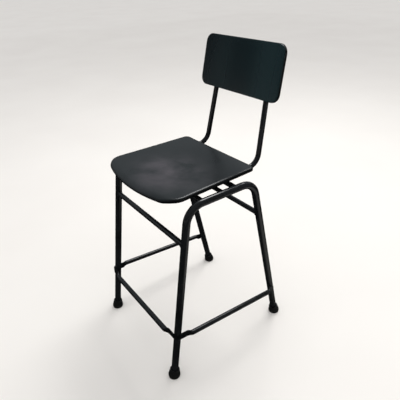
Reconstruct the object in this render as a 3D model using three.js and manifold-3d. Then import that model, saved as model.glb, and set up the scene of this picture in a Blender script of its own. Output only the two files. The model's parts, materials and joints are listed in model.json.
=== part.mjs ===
// Drafting chair: a fixed-height high stool with a moulded ply seat and backrest on a bent steel tube frame.
// Millimetres, +Z up, the sitter faces -Y, X = 0 is the plane of symmetry,
// and the origin is the point on the floor midway between the four feet.
import * as THREE from "three";
import { ConvexGeometry } from "three/addons/geometries/ConvexGeometry.js";
import { mergeVertices } from "three/addons/utils/BufferGeometryUtils.js";
import Module from "manifold-3d";

const wasm = await Module();
wasm.setup();

// ---- driving dimensions ----
const GAP = 0.3; // clearance left between touching pieces
const RING = 10; // half the facets round a tube
const LEG_R = 11; // hoop tube, 22 mm outside
const LEG_WALL = 1.5;
const TUBE_R = 8; // every other round tube, 16 mm outside
const TUBE_WALL = 1.2;
const BAR_R = 6.35; // middle cross tube, half inch outside

const FOOT_X = 196; // leg centres at the floor
const FOOT_Y = 225;
const LEG_END_Z = 9; // height at which each leg tube stops inside its ferrule
const HOOP_X = 192.5; // hoop top tube
const HOOP_Z = 585.2;
const HOOP_FRONT_Y = -135.5; // where the leg lines meet the top tube
const HOOP_REAR_Y = 96.9;
const HOOP_BEND = 55;
const BEND_STEPS = 7;

const STRETCHER_FRONT_Z = 473;
const STRETCHER_REAR_Z = 467;

const RAIL_FRONT_Z = 167.2; // foot rail falls from the front legs to the rear legs
const RAIL_REAR_Z = 132.9;
const RAIL_OFFSET = LEG_R + TUBE_R; // rail centre stands this far outside the leg centre
const STRAP_T = 3.4; // flattened tube
const STRAP_H = 23;
const STRAP_OFFSET = LEG_R + GAP + STRAP_T / 2;
const STRAP_LEAD = 27; // flat length each side of a front leg
const CRUSH = 15; // length over which round turns to flat
const CRUSH_LAP = 1;
const CRUSH_STEP = 0.05;
const REAR_TAB_AHEAD = 13; // flat length ahead of and behind a rear leg centre
const REAR_TAB_BEHIND = 2;

const RUN_Z = 592.2; // fore and aft run of each upright, under the seat
const UPRIGHT_X = 125.3;
const RUN_FRONT_Y = -92;
const RUN_CORNER_Y = 175.4;
const LEAN = THREE.MathUtils.degToRad(11.2);
const UPRIGHT_TOP_Z = 925;
const UPRIGHT_TOP_X = 105.5;
const UPRIGHT_BEND = 42;

const CROSS_Y = { front: -75, middle: -3.5, rear: 44.5 };
const CROSS_TOP_Z = RUN_Z - TUBE_R - GAP;

const PLY = 12;
const EDGE_TOP_R = 4;
const EDGE_UNDER_R = 2.5;
const SEAT_REAR_Y = 123.5;
const SEAT_FRONT_Y = -213;
const SEAT_FRONT_BOW = 23; // how far the front edge falls back at x = 150
const SEAT_REAR_HALF = 170;
const SEAT_FRONT_HALF = 181;
const SEAT_CORNER_FRONT = 46;
const SEAT_CORNER_REAR = 16;
const SEAT_Z = 614.3;
const SEAT_RISE = 0.012;
const SEAT_DISH = 5;
const SEAT_LIP_R = 40; // waterfall front
const SEAT_LIP_RUN = 26;
const SEAT_LIP_FADE = 0.12; // how much shorter the lip is at x = 150

const BACK_WIDTH = 340.8; // at mid height
const BACK_TAPER = 0.0125; // narrower at the top and wider at the bottom by this share
const BACK_HEIGHT = 158.5;
const BACK_CORNER = 26;
const BACK_HOLLOW = 2.8;
const BACK_CENTRE_Z = 858.6;
const BACK_SCREW_S = [-48, 48];

const SCREW_R = 2.4;
const SCREW_HOLE_R = 2.9;
const SCREW_HEAD_R = 4.75;
const SCREW_HEAD_H = 3;
const SCREW_BITE = 9; // how far a screw enters the ply
const SEAT_SCREW_Y = [-42, 84];

const FERRULE_H = 29;
const FERRULE_R = 18.9;
const WASHER_R = 10.6;
const WASHER_T = 1.6;

const PLUG_T = 2.2;
const PLUG_DEPTH = 10;

// ---- materials ----
const paint = () => new THREE.MeshStandardMaterial({ color: 0x15171a, roughness: 0.28, metalness: 0.2 });
const lacquer = () => new THREE.MeshStandardMaterial({ color: 0x24282b, roughness: 0.42, metalness: 0 });
const rubber = () => new THREE.MeshStandardMaterial({ color: 0x101112, roughness: 0.7, metalness: 0 });
const plastic = () => new THREE.MeshStandardMaterial({ color: 0x17181a, roughness: 0.5, metalness: 0 });
const zinc = () => new THREE.MeshStandardMaterial({ color: 0xa9adb0, roughness: 0.35, metalness: 1 });
const blackZinc = () => new THREE.MeshStandardMaterial({ color: 0x26282a, roughness: 0.4, metalness: 0.9 });

// ---- solids ----
const v3 = (x, y, z) => new THREE.Vector3(x, y, z);

// A geometry as a closed solid for joining and cutting.
function solid(geometry) {
  const g = geometry.clone();
  g.deleteAttribute("normal");
  g.deleteAttribute("uv");
  const m = mergeVertices(g, 1e-4);
  return new wasm.Manifold(
    new wasm.Mesh({
      numProp: 3,
      vertProperties: new Float32Array(m.attributes.position.array),
      triVerts: new Uint32Array(m.index.array),
    }),
  );
}

// A solid as a named mesh.
function piece(name, body, material) {
  const m = body.getMesh();
  const g = new THREE.BufferGeometry();
  g.setAttribute("position", new THREE.BufferAttribute(new Float32Array(m.vertProperties), 3));
  g.setIndex(new THREE.BufferAttribute(new Uint32Array(m.triVerts), 1));
  const flat = g.toNonIndexed();
  flat.computeVertexNormals();
  const mesh = new THREE.Mesh(flat, material);
  mesh.name = name;
  return mesh;
}

// A centreline of straight runs joined by arcs, with stations only where the tube turns.
class BentPath extends THREE.Curve {
  constructor(corners, radius) {
    super();
    this.stations = [corners[0]];
    this.headings = [corners[1].clone().sub(corners[0]).normalize()];
    for (let i = 1; i < corners.length - 1; i++) this.addBend(corners, i, radius);
    this.stations.push(corners[corners.length - 1]);
    this.headings.push(this.headings[this.headings.length - 1]);
  }
  addBend(corners, i, radius) {
    const a = corners[i].clone().sub(corners[i - 1]).normalize();
    const b = corners[i + 1].clone().sub(corners[i]).normalize();
    const turn = a.angleTo(b);
    const side = b.clone().addScaledVector(a, -Math.cos(turn)).normalize();
    const start = corners[i].clone().addScaledVector(a, -radius * Math.tan(turn / 2));
    const centre = start.clone().addScaledVector(side, radius);
    for (let k = 0; k <= BEND_STEPS; k++) {
      const q = (turn * k) / BEND_STEPS;
      const p = centre.clone().addScaledVector(side, -radius * Math.cos(q));
      this.stations.push(p.addScaledVector(a, radius * Math.sin(q)));
      this.headings.push(a.clone().multiplyScalar(Math.cos(q)).addScaledVector(side, Math.sin(q)));
    }
  }
  at(list, t, target) {
    const f = t * (this.stations.length - 1);
    const i = Math.min(Math.floor(f), this.stations.length - 2);
    return target.lerpVectors(list[i], list[i + 1], f - i);
  }
  getPoint(t, target = new THREE.Vector3()) {
    return this.at(this.stations, t, target);
  }
  getTangent(t, target = new THREE.Vector3()) {
    return this.at(this.headings, t, target).normalize();
  }
  getUtoTmapping(u) {
    return u;
  }
}

function sweep(shape, path) {
  const steps = path.stations.length - 1;
  return solid(new THREE.ExtrudeGeometry(shape, { steps, curveSegments: RING, extrudePath: path }));
}

function disc(radius, bore = 0) {
  const shape = new THREE.Shape().absarc(0, 0, radius, 0, Math.PI * 2, false);
  if (bore > 0) shape.holes.push(new THREE.Path().absarc(0, 0, bore, 0, Math.PI * 2, true));
  return shape;
}

const rod = (a, b, radius) => sweep(disc(radius), new BentPath([a, b], 0));
const tube = (corners, radius, wall, bend = 0) => sweep(disc(radius, radius - wall), new BentPath(corners, bend));

// A turned piece: profile of [radius, height] pairs, stood on `at` along `axis`.
function turned(profile, at, axis, facets = 2 * RING) {
  const points = profile.map(([r, z]) => new THREE.Vector2(r, z));
  const g = new THREE.LatheGeometry(points, facets);
  const turn = new THREE.Quaternion().setFromUnitVectors(v3(0, 1, 0), axis.clone().normalize());
  return solid(g.applyQuaternion(turn).translate(at.x, at.y, at.z));
}

// ---- frame lines ----
const footAt = (sx, sy) => v3(sx * FOOT_X, sy * FOOT_Y, 0);
const cornerAt = (sx, sy) => v3(sx * HOOP_X, sy < 0 ? HOOP_FRONT_Y : HOOP_REAR_Y, HOOP_Z);
const legAt = (sx, sy, z) => footAt(sx, sy).lerp(cornerAt(sx, sy), z / HOOP_Z);
const legAxis = (sx, sy) => cornerAt(sx, sy).sub(footAt(sx, sy)).normalize();
const legCore = (sx, sy) => rod(footAt(sx, sy), cornerAt(sx, sy), LEG_R + GAP);

function hoop(sx) {
  const corners = [legAt(sx, -1, LEG_END_Z), cornerAt(sx, -1), cornerAt(sx, 1), legAt(sx, 1, LEG_END_Z)];
  return tube(corners, LEG_R, LEG_WALL, HOOP_BEND);
}

// A stretcher runs leg to leg at one height, its ends coped to the legs.
function stretcher(sy, z) {
  const bar = tube([legAt(-1, sy, z), legAt(1, sy, z)], TUBE_R, TUBE_WALL);
  return bar.subtract(legCore(-1, sy)).subtract(legCore(1, sy));
}

// A cross tube joins the two hoops under the seat, coped to the sides of their top tubes.
function crossTube(y, radius) {
  const z = CROSS_TOP_Z - radius;
  const core = (sx) => rod(v3(sx * HOOP_X, y - HOOP_BEND, HOOP_Z), v3(sx * HOOP_X, y + HOOP_BEND, HOOP_Z), LEG_R + GAP);
  const bar = tube([v3(-HOOP_X + 1, y, z), v3(HOOP_X - 1, y, z)], radius, TUBE_WALL);
  const long = bar.subtract(core(-1)).subtract(core(1));
  const parts = long.decompose();
  return parts.sort((p, q) => q.volume() - p.volume())[0];
}

// ---- foot rail ----
const roundRing = (c, heading, radius) => {
  const side = v3(0, 0, 1).cross(heading).normalize();
  const up = heading.clone().cross(side);
  return Array.from({ length: 2 * RING }, (_, k) => {
    const q = (Math.PI * k) / RING;
    return c.clone().addScaledVector(side, radius * Math.cos(q)).addScaledVector(up, radius * Math.sin(q));
  });
};

const strapShape = () => {
  const [h, t] = [STRAP_H / 2, STRAP_T / 2];
  const s = new THREE.Shape();
  s.moveTo(-h + t, -t);
  s.lineTo(h - t, -t);
  s.absarc(h - t, 0, t, -Math.PI / 2, Math.PI / 2, false);
  s.lineTo(-h + t, t);
  s.absarc(-h + t, 0, t, Math.PI / 2, (3 * Math.PI) / 2, false);
  return s;
};

const strapRing = (c, heading) => {
  const side = v3(0, 0, 1).cross(heading).normalize();
  const up = heading.clone().cross(side);
  return strapShape()
    .getPoints(3)
    .map((p) => c.clone().addScaledVector(up, p.x).addScaledVector(side, p.y));
};

// The crushed length between round tube and flat strap, begun just inside the tube so that the two merge.
function crush(tubeEnd, strapEnd, heading) {
  const start = tubeEnd.clone().add(tubeEnd.clone().sub(strapEnd).setLength(CRUSH_LAP));
  const round = roundRing(start, heading, TUBE_R - CRUSH_STEP);
  return solid(new ConvexGeometry([...round, ...strapRing(strapEnd, heading)]));
}

// Flat strap bent round a leg.
function wrap(corners, bend) {
  const path = new BentPath(corners, bend);
  const options = { steps: path.stations.length - 1, curveSegments: 3, extrudePath: path };
  return solid(new THREE.ExtrudeGeometry(strapShape(), options));
}

// Straight flat tab on the side of a leg.
const tab = (a, b, heading) => solid(new ConvexGeometry([...strapRing(a, heading), ...strapRing(b, heading)]));

// One side of the rail: strap round the front leg, then tube back to a flattened tab on the rear leg.
function railSide(sx) {
  const front = legAt(sx, -1, RAIL_FRONT_Z);
  const rear = legAt(sx, 1, RAIL_REAR_Z);
  const fall = (RAIL_REAR_Z - RAIL_FRONT_Z) / (rear.y - front.y);
  const on = (offset, y) => v3(sx * (Math.abs(front.x) + offset), y, RAIL_FRONT_Z + fall * (y - front.y));
  const back = v3(0, 1, fall).normalize();
  const flatEnd = front.y + STRAP_LEAD;
  const tabStart = rear.y - REAR_TAB_AHEAD;
  const inner = v3(front.x - sx * STRAP_LEAD, front.y - STRAP_OFFSET, RAIL_FRONT_Z);
  const corner = v3(on(STRAP_OFFSET, 0).x, inner.y, RAIL_FRONT_Z);
  const tubeStart = on(RAIL_OFFSET, flatEnd + CRUSH);
  const tubeStop = on(RAIL_OFFSET, tabStart - CRUSH);
  const frontTube = v3(inner.x - sx * CRUSH, front.y - RAIL_OFFSET, RAIL_FRONT_Z);
  return wrap([inner, corner, on(STRAP_OFFSET, flatEnd)], STRAP_OFFSET)
    .add(crush(frontTube, inner.clone().add(v3(sx * 0.5, 0, 0)), v3(sx, 0, 0)))
    .add(crush(tubeStart, on(STRAP_OFFSET, flatEnd - 0.5), back))
    .add(rod(tubeStart, tubeStop, TUBE_R))
    .add(crush(tubeStop, on(STRAP_OFFSET, tabStart + 0.5), back))
    .add(tab(on(STRAP_OFFSET, tabStart), on(STRAP_OFFSET, rear.y + REAR_TAB_BEHIND), back));
}

function footRail() {
  const front = legAt(1, -1, RAIL_FRONT_Z);
  const reach = front.x - STRAP_LEAD - CRUSH;
  const y = front.y - RAIL_OFFSET;
  const bar = rod(v3(-reach, y, RAIL_FRONT_Z), v3(reach, y, RAIL_FRONT_Z), TUBE_R);
  const rail = bar.add(railSide(1)).add(railSide(-1));
  return [-1, 1].reduce((r, sx) => r.subtract(legCore(sx, -1)).subtract(legCore(sx, 1)), rail);
}

// ---- uprights ----
const uprightTop = (sx) => {
  const rise = UPRIGHT_TOP_Z - RUN_Z;
  return v3(sx * UPRIGHT_TOP_X, RUN_CORNER_Y + rise * Math.tan(LEAN), UPRIGHT_TOP_Z);
};
const uprightCorner = (sx) => v3(sx * UPRIGHT_X, RUN_CORNER_Y, RUN_Z);
const uprightAxis = (sx) => uprightTop(sx).sub(uprightCorner(sx)).normalize();
const BACK_NORMAL = v3(0, -Math.cos(LEAN), Math.sin(LEAN)); // faces the sitter
const BACK_UP = v3(0, Math.sin(LEAN), Math.cos(LEAN));

// Point on an upright's axis, s millimetres up the back from the centre of the backrest.
const uprightAt = (sx, s) => {
  const z = BACK_CENTRE_Z + s * Math.cos(LEAN);
  return uprightCorner(sx).lerp(uprightTop(sx), (z - RUN_Z) / (UPRIGHT_TOP_Z - RUN_Z));
};

const backScrewLine = (sx, s) => {
  const p = uprightAt(sx, s);
  return [p.clone().addScaledVector(BACK_NORMAL, -30), p.clone().addScaledVector(BACK_NORMAL, TUBE_R + GAP + SCREW_BITE + 0.6)];
};
const seatScrewLine = (sx, y) => {
  return [v3(sx * UPRIGHT_X, y, RUN_Z - 30), v3(sx * UPRIGHT_X, y, RUN_Z + TUBE_R + GAP + SCREW_BITE + 0.6)];
};
const hole = ([a, b]) => {
  const axis = b.clone().sub(a);
  const length = axis.length();
  return turned([[0, 0], [SCREW_HOLE_R, 0], [SCREW_HOLE_R, length], [0, length]], a, axis, 12);
};

function upright(sx) {
  let body = tube([v3(sx * UPRIGHT_X, RUN_FRONT_Y, RUN_Z), uprightCorner(sx), uprightTop(sx)], TUBE_R, TUBE_WALL, UPRIGHT_BEND);
  for (const s of BACK_SCREW_S) body = body.subtract(hole(backScrewLine(sx, s)));
  for (const y of SEAT_SCREW_Y) body = body.subtract(hole(seatScrewLine(sx, y)));
  return body;
}

// ---- moulded ply panels ----
// Samples of [curve, count] pairs, as one closed outline.
const outline = (runs) => runs.flatMap(([curve, n]) => curve.getPoints(n).slice(0, n));

function line(x0, y0, x1, y1) {
  return new THREE.LineCurve(new THREE.Vector2(x0, y0), new THREE.Vector2(x1, y1));
}

const panelRings = [0, 0.4, 0.7, 0.82, 0.89, 0.95];

// Profile of [share of the way out, inset from the rim, depth below the face].
function panelProfile() {
  const arc = (r, from, depth) =>
    [0, 1, 2, 3].map((k) => {
      const q = (Math.PI / 2) * ((from + k) / 3);
      return [1, r * (1 - Math.sin(q)), depth + r * (from < 0 ? Math.cos(q) : 1 - Math.cos(q))];
    });
  const face = panelRings.map((f) => [f, EDGE_TOP_R, 0]);
  const upper = arc(EDGE_TOP_R, 0, 0);
  const lower = arc(EDGE_UNDER_R, 0, 0)
    .map(([f, inset, d]) => [f, inset, PLY - d])
    .reverse();
  const under = panelRings.map((f) => [f, EDGE_UNDER_R, PLY]).reverse();
  return [...face, ...upper, ...lower, ...under];
}

// A ply panel: `rim` is its outline about (cx, cy), `face` gives the height of its front face.
function panel(rim, cx, cy, face) {
  const profile = panelProfile();
  const n = profile.length;
  const points = profile.map(([f, inset], k) => new THREE.Vector2(k === 0 || k === n - 1 ? 0 : f * (100 - inset), n - k));
  const g = new THREE.LatheGeometry(points, rim.length);
  const p = g.attributes.position;
  const normal = new THREE.Vector3();
  for (let i = 0; i <= rim.length; i++) {
    const o = rim[(rim.length - i) % rim.length];
    const reach = Math.hypot(o.x - cx, o.y - cy);
    for (let k = 0; k < n; k++) {
      const [f, inset, depth] = profile[k];
      const share = f * (1 - inset / reach);
      const x = cx + (o.x - cx) * share;
      const y = cy + (o.y - cy) * share;
      normal.set(face(x - 0.5, y) - face(x + 0.5, y), face(x, y - 0.5) - face(x, y + 0.5), 1).normalize();
      p.setXYZ(i * n + k, x - normal.x * depth, y - normal.y * depth, face(x, y) - normal.z * depth);
    }
  }
  return solid(g);
}

const seatFront = (x) => SEAT_FRONT_Y + SEAT_FRONT_BOW * (x / 150) ** 2;

function seatFace(x, y) {
  const across = Math.max(0, 1 - (x / SEAT_FRONT_HALF) ** 2);
  const along = Math.max(0, 1 - ((y + 10) / 130) ** 2);
  const lip = Math.max(0, SEAT_LIP_RUN * (1 - SEAT_LIP_FADE * (x / 150) ** 2) - (y - seatFront(x)));
  const drop = SEAT_LIP_R - Math.sqrt(Math.max(0, SEAT_LIP_R ** 2 - Math.min(lip, SEAT_LIP_RUN + 2) ** 2));
  return SEAT_Z + SEAT_RISE * y - SEAT_DISH * (across * along) ** 2 - drop;
}

// Laid out with a straight front, then drawn back towards the sides: fully at the front, not at all at the rear.
function seatRim() {
  const [wf, wr, rf, rr] = [SEAT_FRONT_HALF, SEAT_REAR_HALF, SEAT_CORNER_FRONT, SEAT_CORNER_REAR];
  const arc = (x, y, r, from) => new THREE.EllipseCurve(x, y, r, r, from, from + Math.PI / 2);
  const straight = outline([
    [line(0, SEAT_REAR_Y, rr - wr, SEAT_REAR_Y), 6],
    [arc(rr - wr, SEAT_REAR_Y - rr, rr, Math.PI / 2), 5],
    [line(-wr, SEAT_REAR_Y - rr, -wf, SEAT_FRONT_Y + rf), 9],
    [arc(rf - wf, SEAT_FRONT_Y + rf, rf, Math.PI), 7],
    [line(rf - wf, SEAT_FRONT_Y, 0, SEAT_FRONT_Y), 12],
  ]);
  straight.push(new THREE.Vector2(0, SEAT_FRONT_Y));
  const way = straight.map((p) => {
    const share = (SEAT_REAR_Y - p.y) / (SEAT_REAR_Y - SEAT_FRONT_Y);
    return new THREE.Vector2(p.x, p.y + (seatFront(p.x) - SEAT_FRONT_Y) * share);
  });
  const mirrored = way
    .slice(1, -1)
    .reverse()
    .map((p) => new THREE.Vector2(-p.x, p.y));
  return [...way, ...mirrored];
}

function seat() {
  let body = panel(seatRim(), 0, -40, seatFace);
  for (const sx of [-1, 1]) for (const y of SEAT_SCREW_Y) body = body.subtract(hole(seatScrewLine(sx, y)));
  return body;
}

// The backrest in its own plane: x across, y up the back, height towards the sitter.
const backFace = (x) => TUBE_R + GAP + PLY + (BACK_HOLLOW * (x * x - UPRIGHT_TOP_X ** 2)) / (BACK_WIDTH / 2) ** 2;

function backRim() {
  const [w, h, r] = [BACK_WIDTH / 2, BACK_HEIGHT / 2, BACK_CORNER];
  const arc = (x, y, from) => new THREE.EllipseCurve(x, y, r, r, from, from + Math.PI / 2);
  const straight = outline([
    [arc(w - r, h - r, 0), 6],
    [line(w - r, h, r - w, h), 10],
    [arc(r - w, h - r, Math.PI / 2), 6],
    [line(-w, h - r, -w, r - h), 6],
    [arc(r - w, r - h, Math.PI), 6],
    [line(r - w, -h, w - r, -h), 10],
    [arc(w - r, r - h, Math.PI * 1.5), 6],
    [line(w, r - h, w, h - r), 6],
  ]);
  return straight.map((p) => new THREE.Vector2(p.x * (1 - (BACK_TAPER * p.y) / h), p.y));
}

function backrest() {
  const flat = panel(backRim(), 0, 0, backFace);
  const origin = uprightAt(1, 0).setX(0);
  const place = new THREE.Matrix4().makeBasis(v3(1, 0, 0), BACK_UP, BACK_NORMAL).setPosition(origin);
  let body = flat.transform(place.toArray());
  for (const sx of [-1, 1]) for (const s of BACK_SCREW_S) body = body.subtract(hole(backScrewLine(sx, s)));
  return body;
}

// ---- small parts ----
// A pan-head screw with a hexagon socket; `at` is under the head, `axis` points along the shank.
function screw(at, axis) {
  const [r, h] = [SCREW_HEAD_R, SCREW_HEAD_H];
  const length = 2 * TUBE_R + 2 * GAP + SCREW_BITE;
  const body = turned(
    [
      [0, -h],
      [r * 0.62, -h],
      [r * 0.88, -h * 0.72],
      [r, -h * 0.3],
      [r, 0],
      [SCREW_R, 0],
      [SCREW_R, length - 2],
      [0.6, length],
      [0, length],
    ],
    at,
    axis,
    12,
  );
  const mouth = at.clone().addScaledVector(axis, -h - 1);
  const socket = turned([[0, 0], [1.7, 0], [1.7, 2.9], [0, 2.9]], mouth, axis, 6);
  return body.subtract(socket);
}

// Rubber foot: a collar, a neck and a flared body, cut flat where it stands on the floor.
function ferrule(sx, sy) {
  const bore = LEG_R + GAP;
  const floor = LEG_END_Z - GAP - WASHER_T - GAP;
  const body = turned(
    [
      [0, -6],
      [FERRULE_R - 2.3, -6],
      [FERRULE_R - 1.5, 0.4],
      [FERRULE_R - 0.4, 3],
      [FERRULE_R, 6],
      [FERRULE_R - 0.6, 11],
      [16.5, 19.6],
      [15.6, 25.4],
      [15.6, FERRULE_H - 1.6],
      [15.0, FERRULE_H - 0.4],
      [13.8, FERRULE_H],
      [bore, FERRULE_H],
      [bore, floor],
      [0, floor],
    ],
    footAt(sx, sy),
    legAxis(sx, sy),
    28,
  );
  const below = new THREE.BoxGeometry(80, 80, 40);
  return body.subtract(solid(below.translate(sx * FOOT_X, sy * FOOT_Y, -20)));
}

function washer(sx, sy) {
  const axis = legAxis(sx, sy);
  const at = footAt(sx, sy).addScaledVector(axis, LEG_END_Z - GAP - WASHER_T);
  return turned([[0, 0], [WASHER_R, 0], [WASHER_R, WASHER_T], [0, WASHER_T]], at, axis);
}

// A push-in plug: `at` is the tube's end, `axis` points out of it.
function plug(at, axis) {
  const bore = TUBE_R - TUBE_WALL - GAP;
  const profile = [
    [0, -PLUG_DEPTH],
    [bore - 0.8, -PLUG_DEPTH],
    [bore, -PLUG_DEPTH + 2],
    [bore, GAP],
    [TUBE_R, GAP],
    [TUBE_R - 0.2, PLUG_T - 0.8],
    [TUBE_R - 1.6, PLUG_T],
    [0, PLUG_T],
  ];
  return turned(profile, at, axis);
}

// ---- assembly ----
const chair = new THREE.Group();
chair.name = "drafting_chair";
const add = (name, body, material) => chair.add(piece(name, body, material));

for (const [side, sx] of [["left", 1], ["right", -1]]) {
  add(`hoop_${side}`, hoop(sx), paint());
  add(`upright_${side}`, upright(sx), paint());
  add(`plug_upright_top_${side}`, plug(uprightTop(sx), uprightAxis(sx)), plastic());
  add(`plug_upright_front_${side}`, plug(v3(sx * UPRIGHT_X, RUN_FRONT_Y, RUN_Z), v3(0, -1, 0)), plastic());
  for (const [end, sy] of [["front", -1], ["rear", 1]]) {
    add(`ferrule_${end}_${side}`, ferrule(sx, sy), rubber());
    add(`washer_${end}_${side}`, washer(sx, sy), zinc());
  }
  SEAT_SCREW_Y.forEach((y, k) => {
    const at = v3(sx * UPRIGHT_X, y, RUN_Z - TUBE_R - GAP);
    add(`seat_screw_${["front", "rear"][k]}_${side}`, screw(at, v3(0, 0, 1)), zinc());
  });
  BACK_SCREW_S.forEach((s, k) => {
    const at = uprightAt(sx, s).addScaledVector(BACK_NORMAL, -TUBE_R - GAP);
    add(`back_screw_${["lower", "upper"][k]}_${side}`, screw(at, BACK_NORMAL.clone()), blackZinc());
  });
}
add("stretcher_front", stretcher(-1, STRETCHER_FRONT_Z), paint());
add("stretcher_rear", stretcher(1, STRETCHER_REAR_Z), paint());
add("cross_tube_front", crossTube(CROSS_Y.front, TUBE_R), paint());
add("cross_tube_middle", crossTube(CROSS_Y.middle, BAR_R), paint());
add("cross_tube_rear", crossTube(CROSS_Y.rear, TUBE_R), paint());
add("foot_rail", footRail(), paint());
add("seat", seat(), lacquer());
add("backrest", backrest(), lacquer());

export default chair;
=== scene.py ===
# Drafting chair: a fixed-height high stool with a moulded ply seat and backrest on a bent steel tube frame.
# Metres, +Z up, the sitter faces -Y, X = 0 is the plane of symmetry, and the feet stand on Z = 0.
import json
import math

import bmesh
import bpy
from mathutils import Matrix, Vector


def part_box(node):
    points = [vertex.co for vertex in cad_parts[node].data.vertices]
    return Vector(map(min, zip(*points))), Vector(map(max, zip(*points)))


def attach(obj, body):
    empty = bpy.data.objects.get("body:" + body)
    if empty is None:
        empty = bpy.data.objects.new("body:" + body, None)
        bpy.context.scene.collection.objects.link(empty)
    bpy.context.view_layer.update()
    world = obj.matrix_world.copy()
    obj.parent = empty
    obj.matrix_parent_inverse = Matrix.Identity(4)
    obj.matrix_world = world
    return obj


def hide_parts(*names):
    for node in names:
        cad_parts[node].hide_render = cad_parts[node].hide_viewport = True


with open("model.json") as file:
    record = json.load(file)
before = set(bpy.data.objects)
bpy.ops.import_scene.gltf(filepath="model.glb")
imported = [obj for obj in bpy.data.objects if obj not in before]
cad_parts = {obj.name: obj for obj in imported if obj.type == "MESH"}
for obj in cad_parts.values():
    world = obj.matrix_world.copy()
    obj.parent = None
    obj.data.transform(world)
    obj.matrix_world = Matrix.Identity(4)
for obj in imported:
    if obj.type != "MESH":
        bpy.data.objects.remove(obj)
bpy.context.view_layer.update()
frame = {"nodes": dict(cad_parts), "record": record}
MM = 0.001

# ---- studio ----
# A pale seamless floor that runs out past the view, a softbox high behind the chair and to its right, and an
# even pale room. What the gloss mirrors is less even: a bright wall to the chair's right, and a dim room
# elsewhere, both darker near the floor.
FLOOR_HALF = 40.0
BACKGROUND = "f0efec"
CAMERA_AT = Vector((0.929773, -0.629444, 1.124529))
CAMERA_LOOKS = Vector((-0.7003, 0.5074, -0.5021))
CAMERA_RIGHT = Vector((0.6018, 0.7980, -0.0328))
CAMERA_LENS = 36.19  # mm
CAMERA_SENSOR = 36.0  # mm
ROOM_EVEN = 0.84  # what lights the matt surfaces
WALL_BRIGHT = 0.45  # what the gloss mirrors on the wall's side
ROOM_DIM = 0.14  # and away from it
NEAR_FLOOR = 0.12  # the share of both that is left near the floor
WALL_SIDE = Vector((-0.91, 0.414, 0.0)).normalized()  # the way to the bright wall
KEY_AT = Vector((-0.6, 1.5, 3.1))
KEY_AIM = Vector((0.0, 0.0, 0.45))
KEY_SIZE = 1.4
KEY_WATTS = 44.0


def linear(colour):
    """A hex sRGB colour as the linear one that a shader takes."""
    shares = [int(colour[i : i + 2], 16) / 255 for i in (0, 2, 4)]
    return tuple(c / 12.92 if c <= 0.04045 else ((c + 0.055) / 1.055) ** 2.4 for c in shares) + (1.0,)


def add_node(tree, kind, inputs=None, **settings):
    """A node with its settings; each input takes a number or colour, or the socket it is fed from."""
    made = tree.nodes.new(kind)
    for name, value in settings.items():
        setattr(made, name, value)
    for name, value in (inputs or {}).items():
        if isinstance(value, bpy.types.NodeSocket):
            tree.links.new(value, made.inputs[name])
        else:
            made.inputs[name].default_value = value
    return made


def new_finish(name):
    """An empty material, its node tree and its Object coordinates."""
    finish = bpy.data.materials.new(name)
    finish.use_nodes = True
    finish.node_tree.nodes.clear()
    place = add_node(finish.node_tree, "ShaderNodeTexCoord").outputs["Object"]
    return finish, finish.node_tree, place


scene = bpy.context.scene
scene.view_settings.view_transform = "Standard"

# Matt painted floor: pale, with a faint cloudiness so that it isn't a flat tone.
floor_finish, tree, place = new_finish("matt_floor_paint")
clouds = add_node(tree, "ShaderNodeTexNoise", {"Vector": place, "Scale": 1.4, "Detail": 3.0})
tone = add_node(
    tree,
    "ShaderNodeMix",
    {0: clouds.outputs["Fac"], 6: linear("efebe5"), 7: linear("f8f5ef")},
    data_type="RGBA",
)
paint = add_node(tree, "ShaderNodeBsdfPrincipled", {"Base Color": tone.outputs[2], "Roughness": 0.75})
add_node(tree, "ShaderNodeOutputMaterial", {"Surface": paint.outputs["BSDF"]})

ground = bmesh.new()
bmesh.ops.create_grid(ground, x_segments=1, y_segments=1, size=FLOOR_HALF)
floor_mesh = bpy.data.meshes.new("floor")
ground.to_mesh(floor_mesh)
ground.free()
floor_mesh.materials.append(floor_finish)
floor = bpy.data.objects.new("floor", floor_mesh)
scene.collection.objects.link(floor)

# Flag: a dark card over the floor, there only for what the glossy surfaces mirror, with one pale patch to the
# chair's left that draws the light edges of its legs.
FLAG_HALF = 8.0
FLAG_LIFT = 2 * MM
PALE_PATCH_AT = (0.7, 0.3, 0.0)
PATCH_FULL = 0.28  # how far from its middle the patch is at its palest
PATCH_GONE = 0.52
flag_finish, tree, place = new_finish("flag_felt")
patch_far = add_node(tree, "ShaderNodeVectorMath", {0: place, 1: PALE_PATCH_AT}, operation="DISTANCE")
pale = add_node(
    tree,
    "ShaderNodeMapRange",
    {
        "Value": patch_far.outputs["Value"],
        "From Min": PATCH_FULL,
        "From Max": PATCH_GONE,
        "To Min": 1.0,
        "To Max": 0.0,
    },
    interpolation_type="SMOOTHSTEP",
)
tone = add_node(
    tree,
    "ShaderNodeMix",
    {0: pale.outputs["Result"], 6: linear("171a1c"), 7: linear("b4b2ae")},
    data_type="RGBA",
)
felt = add_node(tree, "ShaderNodeEmission", {"Color": tone.outputs[2], "Strength": 1.0})
add_node(tree, "ShaderNodeOutputMaterial", {"Surface": felt.outputs["Emission"]})
card = bmesh.new()
lifted = Matrix.Translation((0, 0, FLAG_LIFT))
bmesh.ops.create_grid(card, x_segments=1, y_segments=1, size=FLAG_HALF, matrix=lifted)
card_mesh = bpy.data.meshes.new("flag")
card.to_mesh(card_mesh)
card.free()
card_mesh.materials.append(flag_finish)
flag = bpy.data.objects.new("flag", card_mesh)
scene.collection.objects.link(flag)
flag.visible_camera = False
flag.visible_diffuse = False
flag.visible_shadow = False
flag.visible_transmission = False

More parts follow.
